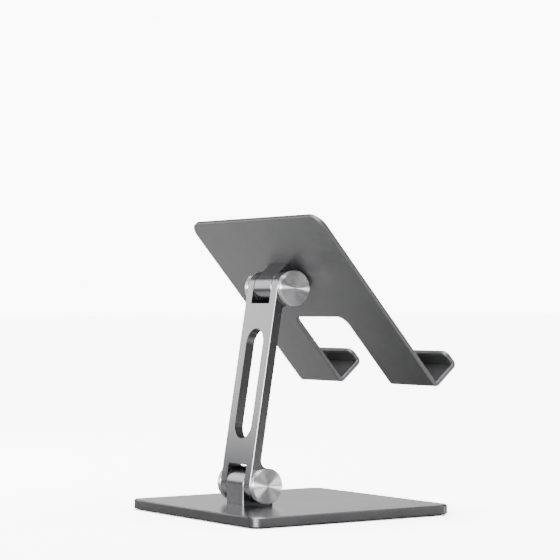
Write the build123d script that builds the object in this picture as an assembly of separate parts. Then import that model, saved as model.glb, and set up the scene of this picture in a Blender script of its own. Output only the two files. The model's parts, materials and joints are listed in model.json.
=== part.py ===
from build123d import *
import math
import os

# Single-arm tablet stand, in millimetres.
# +X runs along both hinge axes, -Y is the user's side and +Z is up.
# The origin is the centre of the underside, where the base pad meets the desk.
# Left and right are as the user sees them: right is +X.

# ---------------------------------------------------------------- driving sizes

BASE_WIDTH = 132.0          # along X
BASE_DEPTH = 134.0          # along Y
BASE_HEIGHT = 6.2           # desk to the top of the base plate
BASE_CORNER = 7.0
BASE_TOP_CHAMFER = 0.6
BASE_BOTTOM_CHAMFER = 0.4

PAD_PROUD = 0.8             # how far the base pad stands below the plate
PAD_RECESS = 0.5            # how deep it sits in the plate
PAD_INSET = 3.0             # plate edge to pad edge

HINGE_Y = 26.8              # lower hinge axis, behind the middle of the base
HINGE_Z = 17.5              # lower hinge axis, above the desk
ARM_LENGTH = 112.5          # between the two hinge axes
ARM_LEAN = 9.5              # degrees forward of upright, at rest
TRAY_TILT = 49.0            # degrees between the tray and the desk, at rest

ARM_WIDTH = 30.5
ARM_THICK = 5.5
EAR_RADIUS = 10.0           # the arm's flat rear face is tangent to both ears
EAR_FILLET = 4.5            # where the front face flares into an ear
FORK_GAP = 18.4             # between the two ears of a fork
FORK_FLOOR = 10.4           # hinge axis to the floor of the fork
SLOT_WIDTH = 17.0
SLOT_LENGTH = 63.0
ARM_EDGE = 0.25

KNUCKLE_WIDTH = 17.2
KNUCKLE_RADIUS = 10.0
KNUCKLE_FOOT = 1.2          # depth of the foot that sits in the base plate
KNUCKLE_EDGE = 0.25

AXLE_RADIUS = 3.0
EAR_BORE_RADIUS = 3.02
KNUCKLE_BORE_RADIUS = 3.06
COUNTERBORE_RADIUS = 7.0    # in the outer face of each ear
COUNTERBORE_DEPTH = 2.7
HEAD_RADIUS = 6.0
HEAD_HEIGHT = 2.8
SOCKET_FLATS = 4.0
SOCKET_DEPTH = 1.6
NUT_FLATS = 10.0
NUT_HEIGHT = 2.9
AXLE_END_PROUD = 0.3        # axle beyond the nut

WASHER_RADIUS = 9.6         # friction washers, between knuckle and ears
WASHER_PLAY = 0.05          # between a friction washer and its neighbours
SPRING_RADIUS = 5.8         # disc springs, under the nut
SPRING_BORE = 3.15
SPRING_THICK = 0.45
SPRING_CONE = 0.25

KNOB_RADIUS = 10.0
KNOB_PROUD = 3.5            # knob face beyond the ear
KNOB_CHAMFER = 0.45
KNOB_FLANGE = 1.5           # ear to the groove
KNOB_GROOVE_WIDTH = 0.4
KNOB_GROOVE_DEPTH = 0.5
KNOB_CAVITY = 2.2           # hollow over the axle end
KNOB_SPIGOT_DEPTH = 1.2     # ring pressed into the ear's counterbore
KNOB_SPIGOT_WALL = 0.6

TRAY_WIDTH = 132.0
TRAY_TOP = 41.5             # hinge axis to the top edge, along the tray
TRAY_BOTTOM = -84.5         # hinge axis to the underside of the hooks
TRAY_BACK = 11.0            # hinge axis to the tray's back face
TRAY_THICK = 2.5
TRAY_CORNER = 9.0
TRAY_EDGE = 0.35            # small chamfer along the sheet's cut edges
CUTOUT_WIDTH = 50.0
CUTOUT_TOP = -31.5
CUTOUT_CORNER = 6.0
HOOK_RADIUS = 3.0           # outside of each bend
HOOK_INNER_RADIUS = 0.6
HOOK_REACH = 20.0           # back face to the outside of the lip
LIP_TOP = -73.5
LIP_CORNER = 4.0

TRAY_PAD_THICK = 0.9
TRAY_PAD_INSET = 3.0
TRAY_PAD_BOTTOM = LIP_TOP + 1.5
HOOK_PAD_THICK = 0.6
HOOK_PAD_INSET = 2.0
HOOK_PAD_TOP = LIP_TOP - 1.2

BASE_SCREW_RADIUS = 2.0
BASE_SCREW_HEAD = 3.9
BASE_SCREW_LENGTH = 12.0
BASE_SCREW_SPACING = 10.0
TRAY_SCREW_RADIUS = 1.5
TRAY_SCREW_HEAD = 2.9
TRAY_SCREW_LENGTH = 8.0
TRAY_SCREW_SPACING = 9.0
SCREW_PLAY = 0.02

os.makedirs("parts", exist_ok=True)

PLATE_BOTTOM = PAD_PROUD
EAR_FACE = ARM_WIDTH / 2
LEAN = math.radians(ARM_LEAN)
LOWER_AXIS = Vector(0, HINGE_Y, HINGE_Z)
UPPER_AXIS = LOWER_AXIS + Vector(0, -math.sin(LEAN), math.cos(LEAN)) * ARM_LENGTH

# The arm is drawn upright on the lower axis, with its rear face towards +Y.
# The tray is drawn upright on the upper axis, with its back face towards +Y.
ARM_PLACE = Pos(*LOWER_AXIS) * Rot(ARM_LEAN, 0, 0)
TRAY_PLACE = Pos(*UPPER_AXIS) * Rot(TRAY_TILT - 90, 0, 0)


# ---------------------------------------------------------------- helpers

def save(shape, name):
    """Write one node."""
    export_step(shape, f"parts/{name}.step")


def group(shapes):
    """Several separate solids that share one node."""
    return Compound(children=shapes)


def block(x, y, z):
    """A box from three (low, high) pairs."""
    size = [high - low for low, high in (x, y, z)]
    middle = [(high + low) / 2 for low, high in (x, y, z)]
    return Pos(*middle) * Box(*size)


def along_x(profile, width):
    """Extrude a profile drawn with (Y, Z) coordinates, half the width to each side."""
    return extrude(Plane.YZ * profile, amount=width / 2, both=True)


def round_bar(radius, low, high):
    """A cylinder on the X axis from low to high."""
    return Pos((low + high) / 2, 0, 0) * Rot(0, 90, 0) * Cylinder(radius, high - low)


def turned(points):
    """A solid of revolution on the X axis, from (X, radius) points."""
    profile = make_face(Polyline(*[(x, r) for x, r in points], close=True))
    return revolve(profile, axis=Axis.X)


def corners_near(sketch, points):
    """The vertices of a sketch that lie at the given points."""
    return [v for v in sketch.vertices() if any(
        math.hypot(v.X - x, v.Y - y) < 1e-3 for x, y in points)]


# ---------------------------------------------------------------- base

def countersunk_screw(radius, head_radius, length, socket_flats):
    """A screw with its head's flat face on Z = 0 and its tip at Z = +length."""
    cone = head_radius - radius
    edge = 0.3
    points = [(0, 0), (head_radius, 0), (head_radius, edge), (radius, edge + cone),
              (radius, length - 0.4), (radius - 0.4, length), (0, length)]
    shank = revolve(make_face(Plane.XZ * Polyline(*points, close=True)), axis=Axis.Z)
    socket = extrude(RegularPolygon(socket_flats / 2, 6, major_radius=False), amount=cone)
    return shank - socket


def screw_hole(radius, head_radius, length):
    """The space that a countersunk screw fills, with a little play."""
    cone = head_radius - radius
    edge = 0.3
    play = SCREW_PLAY
    points = [(0, -1), (head_radius + play, -1), (head_radius + play, edge),
              (radius + play, edge + cone), (radius + play, length + 0.3), (0, length + 0.3)]
    return revolve(make_face(Plane.XZ * Polyline(*points, close=True)), axis=Axis.Z)


def base_screw_places():
    """Two screws under the base knuckle, heads at the floor of the pad recess."""
    floor = PLATE_BOTTOM + PAD_RECESS
    return [Pos(0, HINGE_Y + side * BASE_SCREW_SPACING / 2, floor) for side in (-1, 1)]


def knuckle_foot():
    """The foot of the knuckle, which fills a pocket in the base plate."""
    half = KNUCKLE_WIDTH / 2
    depth = (HINGE_Y - KNUCKLE_RADIUS, HINGE_Y + KNUCKLE_RADIUS)
    return block((-half, half), depth, (BASE_HEIGHT - KNUCKLE_FOOT, BASE_HEIGHT))


def base_plate():
    height = BASE_HEIGHT - PLATE_BOTTOM
    outline = RectangleRounded(BASE_WIDTH, BASE_DEPTH, BASE_CORNER)
    plate = Pos(0, 0, PLATE_BOTTOM) * extrude(outline, amount=height)
    top = plate.faces().sort_by(Axis.Z)[-1]
    plate = chamfer(top.edges(), BASE_TOP_CHAMFER)
    bottom = plate.faces().sort_by(Axis.Z)[0]
    plate = chamfer(bottom.edges(), BASE_BOTTOM_CHAMFER)
    plate -= Pos(0, 0, PLATE_BOTTOM) * extrude(pad_outline(), amount=PAD_RECESS)
    plate -= knuckle_foot()
    for place in base_screw_places():
        plate -= place * screw_hole(BASE_SCREW_RADIUS, BASE_SCREW_HEAD, BASE_SCREW_LENGTH)
    return plate


def pad_outline():
    width = BASE_WIDTH - 2 * PAD_INSET
    depth = BASE_DEPTH - 2 * PAD_INSET
    return RectangleRounded(width, depth, BASE_CORNER - PAD_INSET)


def base_pad():
    return extrude(pad_outline(), amount=PAD_PROUD + PAD_RECESS)


def base_knuckle():
    """An upright block with a full round top, seated in a pocket of the base."""
    low = BASE_HEIGHT - HINGE_Z
    side = KNUCKLE_RADIUS
    profile = Circle(side) + Pos(0, low / 2) * Rectangle(2 * side, -low)
    body = Pos(*LOWER_AXIS) * along_x(profile, KNUCKLE_WIDTH)
    ends = body.faces().filter_by(Axis.X)
    edges = [e for face in ends for e in face.edges() if e.center().Z > BASE_HEIGHT + 0.1]
    body = chamfer(edges, KNUCKLE_EDGE)
    body += knuckle_foot()
    body -= Pos(*LOWER_AXIS) * round_bar(KNUCKLE_BORE_RADIUS, -KNUCKLE_WIDTH, KNUCKLE_WIDTH)
    for place in base_screw_places():
        body -= place * screw_hole(BASE_SCREW_RADIUS, BASE_SCREW_HEAD, BASE_SCREW_LENGTH)
    return body


def base_knuckle_screws():
    screw = countersunk_screw(BASE_SCREW_RADIUS, BASE_SCREW_HEAD, BASE_SCREW_LENGTH, 2.5)
    return group([place * screw for place in base_screw_places()])


# ---------------------------------------------------------------- arm

def arm_profile():
    """Side view: a bar whose rear face is tangent to an ear at each end."""
    rear = EAR_RADIUS
    front = rear - ARM_THICK
    centre_y = front - EAR_FILLET
    reach = EAR_RADIUS + EAR_FILLET
    centre_z = math.sqrt(reach ** 2 - centre_y ** 2)
    towards_ear = Vector(-centre_y, -centre_z) / reach
    middle = (towards_ear + Vector(1, 0)).normalized() * EAR_FILLET
    on_ear = Vector(centre_y, centre_z) * (EAR_RADIUS / reach)
    fillet_mid = Vector(centre_y, centre_z) + middle
    length = ARM_LENGTH

    def upper(point):
        return (point.X, length - point.Y)

    def lower(point):
        return (point.X, point.Y)

    ear_far = Vector(-EAR_RADIUS, 0)
    bar_end = Vector(front, centre_z)
    wire = Line((rear, 0), (rear, length))
    wire += ThreePointArc((rear, length), upper(ear_far), upper(on_ear))
    wire += ThreePointArc(upper(on_ear), upper(fillet_mid), upper(bar_end))
    wire += Line(upper(bar_end), lower(bar_end))
    wire += ThreePointArc(lower(bar_end), lower(fillet_mid), lower(on_ear))
    wire += ThreePointArc(lower(on_ear), lower(ear_far), (rear, 0))
    return make_face(wire)


def arm():
    body = along_x(arm_profile(), ARM_WIDTH)
    ends = body.faces().filter_by(Axis.X)
    body = chamfer([e for face in ends for e in face.edges()], ARM_EDGE)
    slot = SlotOverall(SLOT_LENGTH, SLOT_WIDTH, rotation=90)
    body -= Pos(0, 0, ARM_LENGTH / 2) * extrude(Plane.XZ * slot, amount=3 * EAR_RADIUS, both=True)
    half = FORK_GAP / 2
    far = EAR_RADIUS + 1
    for centre, up in ((0, 1), (ARM_LENGTH, -1)):
        heights = sorted((centre + up * FORK_FLOOR, centre - up * far))
        body -= block((-half, half), (-far, far), heights)
        here = Pos(0, 0, centre)
        body -= here * round_bar(EAR_BORE_RADIUS, -EAR_FACE - 1, EAR_FACE + 1)
        floor = EAR_FACE - COUNTERBORE_DEPTH
        for low, high in ((floor, EAR_FACE + 1), (-EAR_FACE - 1, -floor)):
            body -= here * round_bar(COUNTERBORE_RADIUS, low, high)
    return ARM_PLACE * body


# ---------------------------------------------------------------- hinge hardware
# Both hinges hold the same pieces, drawn on the X axis through the origin.

def hinge_floor():
    return EAR_FACE - COUNTERBORE_DEPTH


def spring_stack():
    return 2 * (SPRING_THICK + SPRING_CONE)


def nut_span():
    low = hinge_floor() + spring_stack()
    return low, low + NUT_HEIGHT


def axle():
    """A bolt with its socket head in the left ear and its tip in the right one."""
    head_low = -hinge_floor() - HEAD_HEIGHT
    tip = nut_span()[1] + AXLE_END_PROUD
    body = turned([(head_low, 0), (head_low, HEAD_RADIUS - 0.3), (head_low + 0.3, HEAD_RADIUS),
                   (-hinge_floor(), HEAD_RADIUS), (-hinge_floor(), AXLE_RADIUS),
                   (tip - 0.4, AXLE_RADIUS), (tip, AXLE_RADIUS - 0.4), (tip, 0)])
    socket = RegularPolygon(SOCKET_FLATS / 2, 6, major_radius=False)
    return body - Pos(head_low, 0, 0) * extrude(Plane.YZ * socket, amount=SOCKET_DEPTH)


def axle_nut():
    low, high = nut_span()
    hexagon = RegularPolygon(NUT_FLATS / 2, 6, major_radius=False) - Circle(AXLE_RADIUS + 0.02)
    body = Pos(low, 0, 0) * extrude(Plane.YZ * hexagon, amount=high - low)
    corner = NUT_FLATS / 2 / math.cos(math.pi / 6)
    bevel = turned([(low, 0), (low, corner - 0.5), (low + 0.35, corner), (high - 0.35, corner),
                    (high, corner - 0.5), (high, 0)])
    return body & bevel


def friction_washers():
    low = KNUCKLE_WIDTH / 2 + WASHER_PLAY
    high = FORK_GAP / 2 - WASHER_PLAY
    ring = round_bar(WASHER_RADIUS, low, high) - round_bar(AXLE_RADIUS + 0.15, low, high)
    return group([ring, mirror(ring, about=Plane.YZ)])


def disc_spring(base, rise):
    """A shallow cone from its outer edge at base to its bore at base + rise."""
    points = [(base, SPRING_RADIUS), (base + SPRING_THICK, SPRING_RADIUS),
              (base + rise + SPRING_THICK, SPRING_BORE), (base + rise, SPRING_BORE)]
    return turned(points)


def spring_washers():
    """Two disc springs, bore to bore under the nut."""
    low = hinge_floor()
    high = low + spring_stack()
    first = disc_spring(low, SPRING_CONE)
    second = disc_spring(high - SPRING_THICK, -SPRING_CONE)
    return group([first, second])


def knob():
    """A turned cap with a grooved rim, pressed into the right ear's counterbore."""
    face = EAR_FACE + KNOB_PROUD
    groove = EAR_FACE + KNOB_FLANGE
    spigot = COUNTERBORE_RADIUS - 0.02
    hollow = spigot - KNOB_SPIGOT_WALL
    roof = EAR_FACE + KNOB_CAVITY
    return turned([
        (roof, 0), (face, 0), (face, KNOB_RADIUS - KNOB_CHAMFER),
        (face - KNOB_CHAMFER, KNOB_RADIUS), (groove + KNOB_GROOVE_WIDTH, KNOB_RADIUS),
        (groove + KNOB_GROOVE_WIDTH, KNOB_RADIUS - KNOB_GROOVE_DEPTH),
        (groove, KNOB_RADIUS - KNOB_GROOVE_DEPTH), (groove, KNOB_RADIUS),
        (EAR_FACE + 0.3, KNOB_RADIUS), (EAR_FACE, KNOB_RADIUS - 0.3), (EAR_FACE, spigot),
        (EAR_FACE - KNOB_SPIGOT_DEPTH, spigot), (EAR_FACE - KNOB_SPIGOT_DEPTH, hollow),
        (roof, hollow)])


def save_hinge(name, place):
    """Write one hinge's pieces, turned with the body that carries them."""
    save(place * axle(), f"{name}_axle")
    save(place * axle_nut(), f"{name}_axle_nut")
    save(place * friction_washers(), f"{name}_friction_washers")
    save(place * spring_washers(), f"{name}_spring_washers")
    save(place * knob(), f"{name}_knob_right")
    save(place * mirror(knob(), about=Plane.YZ), f"{name}_knob_left")


# ---------------------------------------------------------------- tray

def tray_side_profile():
    """Side view of the bent sheet, as (Y, Z) with the back face at Y = -TRAY_BACK."""
    back = -TRAY_BACK
    front = back - TRAY_THICK
    lip_out = back - HOOK_REACH
    lip_in = lip_out + TRAY_THICK
    floor = TRAY_BOTTOM + TRAY_THICK
    points = [(back, TRAY_TOP), (front, TRAY_TOP), (front, floor), (lip_in, floor),
              (lip_in, LIP_TOP), (lip_out, LIP_TOP), (lip_out, TRAY_BOTTOM), (back, TRAY_BOTTOM)]
    profile = make_face(Polyline(*points, close=True))
    outer = [(lip_out, TRAY_BOTTOM), (back, TRAY_BOTTOM)]
    profile = fillet(corners_near(profile, outer), HOOK_RADIUS)
    inner = [(front, floor), (lip_in, floor)]
    return fillet(corners_near(profile, inner), HOOK_INNER_RADIUS)


def tray_outline(inset, bottom):
    """Front view of the inverted U, as (X, Z), drawn inside the plate's edge by inset."""
    half = TRAY_WIDTH / 2 - inset
    top = TRAY_TOP - inset
    outline = Pos(0, (top + bottom) / 2) * Rectangle(2 * half, top - bottom)
    outline = fillet(corners_near(outline, [(-half, top), (half, top)]), TRAY_CORNER - inset)
    gap = CUTOUT_WIDTH / 2 + inset
    high = CUTOUT_TOP + inset
    cutout = Pos(0, (high + bottom - 1) / 2) * Rectangle(2 * gap, high - bottom + 1)
    corners = corners_near(cutout, [(-gap, high), (gap, high)])
    return outline - fillet(corners, CUTOUT_CORNER + inset)


def tray_screw_places():
    """Two screws through the plate into the knuckle, heads flush with the front face."""
    face = -TRAY_BACK - TRAY_THICK
    return [Pos(0, face, side * TRAY_SCREW_SPACING / 2) * Rot(-90, 0, 0) for side in (-1, 1)]


def sheet_edges(sheet):
    """The edges of both large faces, without the lines where they run into the bends."""
    edges = []
    for face in sheet.faces().filter_by(Axis.Y):
        low = face.bounding_box().min.Z
        if face.area > 1000:
            edges += [e for e in face.outer_wire().edges() if e.center().Z > low + 0.1]
    return edges


def tray_plate():
    sheet = along_x(tray_side_profile(), TRAY_WIDTH)
    deep = TRAY_BACK + HOOK_REACH + 1
    sheet &= extrude(Plane.XZ * tray_outline(0, TRAY_BOTTOM - 1), amount=deep)
    lip_middle = -TRAY_BACK - HOOK_REACH + TRAY_THICK / 2
    corners = [e for e in sheet.edges().filter_by(Axis.Y)
               if abs(e.center().Y - lip_middle) < 0.1 and abs(e.center().Z - LIP_TOP) < 0.1]
    sheet = fillet(corners, LIP_CORNER)
    sheet = chamfer(sheet_edges(sheet), TRAY_EDGE)
    for place in tray_screw_places():
        sheet -= place * screw_hole(TRAY_SCREW_RADIUS, TRAY_SCREW_HEAD, TRAY_SCREW_LENGTH)
    return sheet


def tray_knuckle():
    """The same full-round block as on the base, bolted to the back of the tray plate."""
    back = -TRAY_BACK
    profile = Circle(KNUCKLE_RADIUS) + Pos(back / 2, 0) * Rectangle(-back, 2 * KNUCKLE_RADIUS)
    body = along_x(profile, KNUCKLE_WIDTH)
    ends = body.faces().filter_by(Axis.X)
    edges = [e for face in ends for e in face.edges() if e.center().Y > back + 0.1]
    body = chamfer(edges, KNUCKLE_EDGE)
    body -= round_bar(KNUCKLE_BORE_RADIUS, -KNUCKLE_WIDTH, KNUCKLE_WIDTH)
    for place in tray_screw_places():
        body -= place * screw_hole(TRAY_SCREW_RADIUS, TRAY_SCREW_HEAD, TRAY_SCREW_LENGTH)
    return body


def tray_knuckle_screws():
    screw = countersunk_screw(TRAY_SCREW_RADIUS, TRAY_SCREW_HEAD, TRAY_SCREW_LENGTH, 2.0)
    return group([place * screw for place in tray_screw_places()])


def hook_pad():
    """A U-shaped lining of the right hook's channel."""
    front = -TRAY_BACK - TRAY_THICK
    lip_in = -TRAY_BACK - HOOK_REACH + TRAY_THICK
    floor = TRAY_BOTTOM + TRAY_THICK
    thick = HOOK_PAD_THICK
    top = HOOK_PAD_TOP
    points = [(front, top), (front, floor), (lip_in, floor), (lip_in, top), (lip_in + thick, top),
              (lip_in + thick, floor + thick), (front - thick, floor + thick), (front - thick, top)]
    profile = make_face(Polyline(*points, close=True))
    outer = [(front, floor), (lip_in, floor)]
    profile = fillet(corners_near(profile, outer), HOOK_INNER_RADIUS)
    low = CUTOUT_WIDTH / 2 + HOOK_PAD_INSET
    high = TRAY_WIDTH / 2 - HOOK_PAD_INSET
    return Pos((low + high) / 2, 0, 0) * along_x(profile, high - low)


def tray_pad():
    outline = tray_outline(TRAY_PAD_INSET, TRAY_PAD_BOTTOM)
    face = -TRAY_BACK - TRAY_THICK
    return Pos(0, face, 0) * extrude(Plane.XZ * outline, amount=TRAY_PAD_THICK)


save(base_plate(), "base_plate")
save(base_pad(), "base_pad")
save(base_knuckle(), "base_knuckle")
save(base_knuckle_screws(), "base_knuckle_screws")
save(arm(), "arm")
save_hinge("lower", Pos(*LOWER_AXIS) * Rot(ARM_LEAN, 0, 0))
save_hinge("upper", Pos(*UPPER_AXIS) * Rot(ARM_LEAN, 0, 0))
save(TRAY_PLACE * tray_plate(), "tray_plate")
save(TRAY_PLACE * tray_knuckle(), "tray_knuckle")
save(TRAY_PLACE * tray_knuckle_screws(), "tray_knuckle_screws")
save(TRAY_PLACE * tray_pad(), "tray_pad")
save(TRAY_PLACE * hook_pad(), "hook_pad_right")
save(TRAY_PLACE * mirror(hook_pad(), about=Plane.YZ), "hook_pad_left")
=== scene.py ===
import json
import math
import bpy
from mathutils import Matrix, Vector

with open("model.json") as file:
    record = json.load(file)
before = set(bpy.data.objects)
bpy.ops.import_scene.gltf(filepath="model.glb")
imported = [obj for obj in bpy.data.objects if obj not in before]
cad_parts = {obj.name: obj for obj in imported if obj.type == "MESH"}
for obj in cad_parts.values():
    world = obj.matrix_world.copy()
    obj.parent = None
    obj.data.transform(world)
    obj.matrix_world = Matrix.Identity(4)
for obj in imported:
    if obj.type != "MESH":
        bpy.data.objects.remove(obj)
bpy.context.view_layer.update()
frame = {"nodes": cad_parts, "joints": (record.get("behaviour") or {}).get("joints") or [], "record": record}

# ---------------------------------------------------------------- places, in metres

record = frame["record"]
nodes = frame["nodes"]
joints = {joint["name"]: joint for joint in frame["joints"]}
LOWER = Vector(joints["base_hinge"]["pos_m"])
UPPER = Vector(joints["tray_hinge"]["pos_m"])


# ---------------------------------------------------------------- node helpers

def new_material(name):
    material = bpy.data.materials.new(name)
    material.use_nodes = True
    tree = material.node_tree
    shader = tree.nodes["Principled BSDF"]
    return material, tree, shader


def add(tree, kind, inputs=None, **properties):
    node = tree.nodes.new(kind)
    for key, value in properties.items():
        setattr(node, key, value)
    for key, value in (inputs or {}).items():
        if isinstance(value, bpy.types.NodeSocket):
            tree.links.new(value, node.inputs[key])
        else:
            node.inputs[key].default_value = value
    return node


def math_node(tree, operation, *values):
    node = tree.nodes.new("ShaderNodeMath")
    node.operation = operation
    for socket, value in zip(node.inputs, values):
        if isinstance(value, bpy.types.NodeSocket):
            tree.links.new(value, socket)
        else:
            socket.default_value = value
    return node.outputs[0]


def noise(tree, scale, detail, rough, vector):
    """A noise texture's value at a place."""
    return add(tree, "ShaderNodeTexNoise", {"Vector": vector, "Scale": scale, "Detail": detail,
                                            "Roughness": rough}).outputs["Fac"]


def ramp(tree, value, stops):
    """A blend between two colours, given as (place, colour) pairs."""
    node = tree.nodes.new("ShaderNodeValToRGB")
    for element, (place, colour) in zip(node.color_ramp.elements, stops):
        element.position = place
        element.color = (*colour, 1)
    tree.links.new(value, node.inputs["Fac"])
    return node.outputs["Color"]


def spread(tree, value, source, target):
    """A value mapped from one (low, high) range to another, and held inside it."""
    return add(tree, "ShaderNodeMapRange", {"Value": value, "From Min": source[0], "From Max": source[1],
                                            "To Min": target[0], "To Max": target[1]}).outputs["Result"]


def blend(tree, first, second, share):
    """Two values added, the first with the given share and the second with the rest."""
    return math_node(tree, "ADD", math_node(tree, "MULTIPLY", first, share),
                     math_node(tree, "MULTIPLY", second, 1 - share))


def grey(value, tint=1.0):
    """A grey whose blue is the given multiple of its red and green."""
    return (value, value, value * tint)


def object_coordinates(tree):
    return tree.nodes.new("ShaderNodeTexCoord").outputs["Object"]


def bump(tree, shader, height, strength, distance):
    """Fine relief, with its depth in metres."""
    node = add(tree, "ShaderNodeBump", {"Strength": strength, "Distance": distance, "Height": height})
    tree.links.new(node.outputs["Normal"], shader.inputs["Normal"])


# ---------------------------------------------------------------- materials
# Noise values lie mostly between these limits, so colour and gloss are spread over them.

MIXED = (0.35, 0.65)
GRAIN_DEPTH = 0.00002       # metres of relief in blasted, turned and plated metal
MOULDED_DEPTH = 0.00006


def blasted_aluminium(name, low, high, rough_low, rough_high):
    """Bead-blasted, anodised: a fine grain in height, tone and gloss, with faint larger clouds."""
    material, tree, shader = new_material(name)
    place = object_coordinates(tree)
    grain = noise(tree, 5200.0, 2.0, 0.6, place)
    cloud = noise(tree, 38.0, 3.0, 0.55, place)
    mixed = blend(tree, grain, cloud, 0.55)
    colour = ramp(tree, mixed, [(0.36, grey(low, 1.03)), (0.64, grey(high, 1.03))])
    tree.links.new(colour, shader.inputs["Base Color"])
    tree.links.new(spread(tree, mixed, MIXED, (rough_low, rough_high)), shader.inputs["Roughness"])
    shader.inputs["Metallic"].default_value = 1.0
    bump(tree, shader, grain, 0.15, GRAIN_DEPTH)
    return material


def turned_aluminium(name, centre, axis):
    """Faced on a lathe: fine rings about the hinge axis, which spread highlights into wedges."""
    material, tree, shader = new_material(name)
    centred = add(tree, "ShaderNodeVectorMath", {0: object_coordinates(tree), 1: centre},
                  operation="SUBTRACT").outputs[0]
    split = add(tree, "ShaderNodeSeparateXYZ", {0: centred})
    y, z = split.outputs["Y"], split.outputs["Z"]
    radius = math_node(tree, "SQRT", math_node(tree, "ADD", math_node(tree, "MULTIPLY", y, y),
                                               math_node(tree, "MULTIPLY", z, z)))
    place = add(tree, "ShaderNodeCombineXYZ", {"X": radius, "Y": split.outputs["X"]}).outputs[0]
    rings = noise(tree, 2600.0, 3.0, 0.65, place)
    mixed = blend(tree, rings, noise(tree, 420.0, 2.0, 0.5, place), 0.6)
    colour = ramp(tree, mixed, [(0.35, grey(0.87, 1.01)), (0.65, grey(0.96, 1.01))])
    tree.links.new(colour, shader.inputs["Base Color"])
    tree.links.new(spread(tree, mixed, MIXED, (0.34, 0.42)), shader.inputs["Roughness"])
    shader.inputs["Metallic"].default_value = 1.0
    shader.inputs["Anisotropic"].default_value = 1.0
    around = add(tree, "ShaderNodeVectorMath", {0: axis, 1: centred}, operation="CROSS_PRODUCT").outputs[0]
    normal = tree.nodes.new("ShaderNodeNewGeometry").outputs["Normal"]
    across = add(tree, "ShaderNodeVectorMath", {0: around, 1: normal}, operation="CROSS_PRODUCT").outputs[0]
    tangent = add(tree, "ShaderNodeVectorMath", {0: across}, operation="NORMALIZE").outputs[0]
    tree.links.new(tangent, shader.inputs["Tangent"])
    bump(tree, shader, rings, 0.25, GRAIN_DEPTH)
    return material


def plated_steel(name, low, high, roughness):
    """Plated or blackened steel, with small uneven patches in tone and gloss."""
    material, tree, shader = new_material(name)
    place = object_coordinates(tree)
    streaks = noise(tree, 900.0, 4.0, 0.7, place)
    colour = ramp(tree, streaks, [(0.3, grey(low)), (0.7, grey(high))])
    tree.links.new(colour, shader.inputs["Base Color"])
    gloss = spread(tree, streaks, (0.3, 0.7), (roughness - 0.06, roughness + 0.08))
    tree.links.new(gloss, shader.inputs["Roughness"])
    shader.inputs["Metallic"].default_value = 1.0
    bump(tree, shader, streaks, 0.2, GRAIN_DEPTH)
    return material


def moulded(name, low, high, roughness, grain_scale, tint):
    """Rubber or plastic with a fine moulded grain and a slight dusty unevenness."""
    material, tree, shader = new_material(name)
    place = object_coordinates(tree)
    grain = noise(tree, grain_scale, 2.0, 0.6, place)
    dust = noise(tree, 60.0, 4.0, 0.6, place)
    mixed = blend(tree, grain, dust, 0.5)
    colour = ramp(tree, mixed, [(0.35, grey(low, tint)), (0.65, grey(high, tint))])
    tree.links.new(colour, shader.inputs["Base Color"])
    gloss = spread(tree, mixed, MIXED, (roughness - 0.08, roughness + 0.06))
    tree.links.new(gloss, shader.inputs["Roughness"])
    bump(tree, shader, grain, 0.4, MOULDED_DEPTH)
    return material


AXIS = (1.0, 0.0, 0.0)
anodised = blasted_aluminium("blasted_aluminium", 0.178, 0.210, 0.23, 0.27)
anodised_tray = blasted_aluminium("blasted_aluminium_tray", 0.180, 0.215, 0.46, 0.52)
knob_lower = turned_aluminium("turned_aluminium_lower", LOWER, AXIS)
knob_upper = turned_aluminium("turned_aluminium_upper", UPPER, AXIS)
steel = plated_steel("zinc_plated_steel", 0.50, 0.66, 0.30)
black_steel = plated_steel("black_oxide_steel", 0.05, 0.10, 0.42)
spring_steel = plated_steel("spring_steel", 0.30, 0.42, 0.34)
polymer = moulded("filled_polymer", 0.26, 0.34, 0.50, 2400.0, 1.02)
silicone = moulded("black_silicone", 0.018, 0.030, 0.62, 3000.0, 1.04)

by_slot = {
    "anodised_grey": anodised,
    "anodised_grey_tray": anodised_tray,
    "axle_steel": steel,
    "screw_steel": black_steel,
    "spring_steel": spring_steel,
    "washer_polymer": polymer,
    "silicone_black": silicone,
}
for part in record["subparts"]:
    if part["material_slot"] == "turned_aluminium":
        material = knob_lower if part["node"].startswith("lower") else knob_upper
    else:
        material = by_slot[part["material_slot"]]
    mesh = nodes[part["node"]].data
    mesh.materials.clear()
    mesh.materials.append(material)

# ---------------------------------------------------------------- floor, light and camera

def seen_directly(tree):
    """1 for what the camera sees directly, 0 for reflections and bounced light."""
    return tree.nodes.new("ShaderNodeLightPath").outputs["Is Camera Ray"]


# The floor gives the stand less light than it shows the camera, so that a white floor doesn't wash out
# the metal. Distances are in metres along X, or from the origin.
FLOOR_SIZE = 60.0
FLOOR_SHOWN = 4.9           # how bright the camera sees it, to meet the backdrop
BACKDROP = 10.0             # how bright the camera sees the world
# Painted shade and light in the floor's colour for bounce and reflections: darkest around the stand, lighter
# to the right and a little to the left, and darker again with distance.
FLOOR_BOUNCE = (0.27, 0.66)  # what it gives the stand, rising over this stretch to the right
FLOOR_RISE = (0.06, 0.30)
FLOOR_LEFT = 0.30           # what it adds to the left, over this stretch
FLOOR_LEFT_RISE = (-0.07, -0.16)
FLOOR_FALL = (0.35, 0.90)   # where it fades with distance
FLOOR_FAR = 0.12            # what is left of it there
floor_mesh = bpy.data.meshes.new("floor")
half = FLOOR_SIZE / 2
floor_mesh.from_pydata([(-half, -half, 0), (half, -half, 0), (half, half, 0), (-half, half, 0)], [],
                       [(0, 1, 2, 3)])
floor = bpy.data.objects.new("floor", floor_mesh)
bpy.context.scene.collection.objects.link(floor)
floor_material = bpy.data.materials.new("floor_white")
floor_material.use_nodes = True
tree = floor_material.node_tree
tree.nodes.remove(tree.nodes["Principled BSDF"])
place = object_coordinates(tree)
across = add(tree, "ShaderNodeSeparateXYZ", {0: place}).outputs["X"]
reach = add(tree, "ShaderNodeVectorMath", {0: place}, operation="LENGTH").outputs["Value"]
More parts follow.
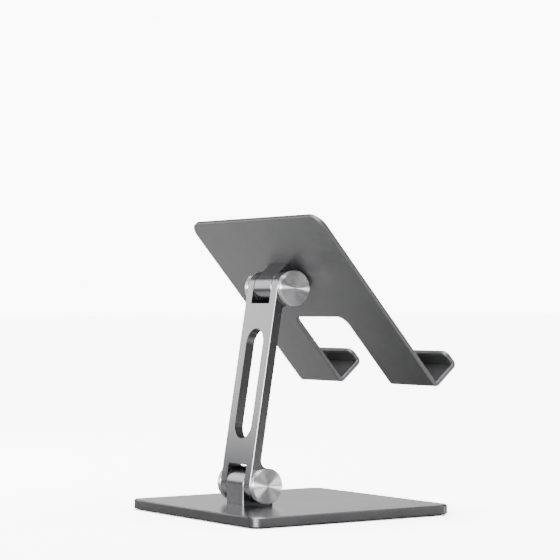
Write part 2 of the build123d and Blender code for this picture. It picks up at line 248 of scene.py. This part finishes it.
# Painted shade: the floor's bounce colour is darker around the stand and far away, lighter to its right and
# left.
near = math_node(tree, "ADD", spread(tree, across, FLOOR_RISE, FLOOR_BOUNCE),
                 spread(tree, across, FLOOR_LEFT_RISE, (0.0, FLOOR_LEFT)))
bounce = math_node(tree, "MULTIPLY", near, spread(tree, reach, FLOOR_FALL, (1.0, FLOOR_FAR)))
level = add(tree, "ShaderNodeMapRange", {"Value": seen_directly(tree), "To Min": bounce,
                                         "To Max": FLOOR_SHOWN}).outputs["Result"]
matt = add(tree, "ShaderNodeBsdfDiffuse", {"Color": level})
tree.links.new(matt.outputs[0], tree.nodes["Material Output"].inputs["Surface"])
floor_mesh.materials.append(floor_material)

# A soft studio: (direction, half-width in degrees, flatness, strength), each a smooth patch of light.
# In turn: to the right, overhead, in front, to the front left, and behind the camera.
SOFT_LIGHTS = [
    ((0.97, -0.28, 0.08), 42, 2.5, 1.32),
    ((-0.10, 0.05, 1.00), 45, 1.0, 5.2),
    ((-0.25, -0.97, 0.00), 20, 1.0, 18.0),
    ((-0.83, -0.56, 0.00), 38, 1.2, 0.26),
    ((-0.60, 0.80, 0.00), 24, 1.3, 40.0),
]
AMBIENT = 0.20              # the light from everywhere else
world = bpy.data.worlds.new("studio")
bpy.context.scene.world = world
world.use_nodes = True
tree = world.node_tree
tree.nodes.remove(tree.nodes["Background"])
direction = tree.nodes.new("ShaderNodeTexCoord").outputs["Generated"]
total = AMBIENT
for aim, width, flatness, strength in SOFT_LIGHTS:
    stretch = Vector((1, 1, flatness))
    stretched = add(tree, "ShaderNodeVectorMath", {0: direction, 1: stretch},
                    operation="MULTIPLY").outputs[0]
    unit = add(tree, "ShaderNodeVectorMath", {0: stretched}, operation="NORMALIZE").outputs[0]
    facing = add(tree, "ShaderNodeVectorMath", {0: unit, 1: (Vector(aim) * stretch).normalized()},
                 operation="DOT_PRODUCT").outputs["Value"]
    patch = add(tree, "ShaderNodeMapRange", {"Value": facing, "From Min": math.cos(math.radians(width)),
                                             "From Max": 1.0, "To Max": strength},
                interpolation_type="SMOOTHSTEP").outputs["Result"]
    total = math_node(tree, "ADD", patch, total)
studio = add(tree, "ShaderNodeBackground", {"Strength": total})
studio.inputs["Color"].default_value = (1, 1, 1, 1)
shown = add(tree, "ShaderNodeBackground", {"Strength": BACKDROP})
shown.inputs["Color"].default_value = (1, 1, 1, 1)
both = add(tree, "ShaderNodeMixShader", {0: seen_directly(tree)})
tree.links.new(studio.outputs[0], both.inputs[1])
tree.links.new(shown.outputs[0], both.inputs[2])
tree.links.new(both.outputs[0], tree.nodes["World Output"].inputs["Surface"])

# The key: a softbox to the right and behind, near enough that it lights the upper hinge from a lower
# angle than the base.
KEY_AT = Vector((0.66, 0.34, 0.31))
KEY_SIZE = 0.37
KEY_POWER = 1.85
KEY_TOWARDS = Vector((0, 0, 0.07))
key_data = bpy.data.lights.new("key", "AREA")
key_data.size = KEY_SIZE
key_data.energy = KEY_POWER
key = bpy.data.objects.new("key", key_data)
bpy.context.scene.collection.objects.link(key)
key.location = KEY_AT
key.rotation_euler = (KEY_TOWARDS - KEY_AT).to_track_quat("-Z", "Y").to_euler()
key.visible_camera = False

# The camera that fits the stand's outlines, in metres and in pixels of a square image.
IMAGE_PIXELS = 560
SENSOR_MM = 36.0
FOCAL_PIXELS = 1989.7
CAMERA_AT = Vector((-0.94513, 0.64517, 0.11653))
RIGHT = Vector((-0.560157, -0.828386, 0.000280))
UP = Vector((-0.012024, 0.008468, 0.999892))
camera_data = bpy.data.cameras.new("camera")
camera_data.sensor_width = SENSOR_MM
camera_data.lens = FOCAL_PIXELS / IMAGE_PIXELS * SENSOR_MM
camera_data.clip_start = 0.01
camera = bpy.data.objects.new("camera", camera_data)
bpy.context.scene.collection.objects.link(camera)
back = RIGHT.cross(UP)
camera.matrix_world = Matrix((
    (RIGHT.x, UP.x, back.x, CAMERA_AT.x),
    (RIGHT.y, UP.y, back.y, CAMERA_AT.y),
    (RIGHT.z, UP.z, back.z, CAMERA_AT.z),
    (0, 0, 0, 1)))
bpy.context.scene.camera = camera
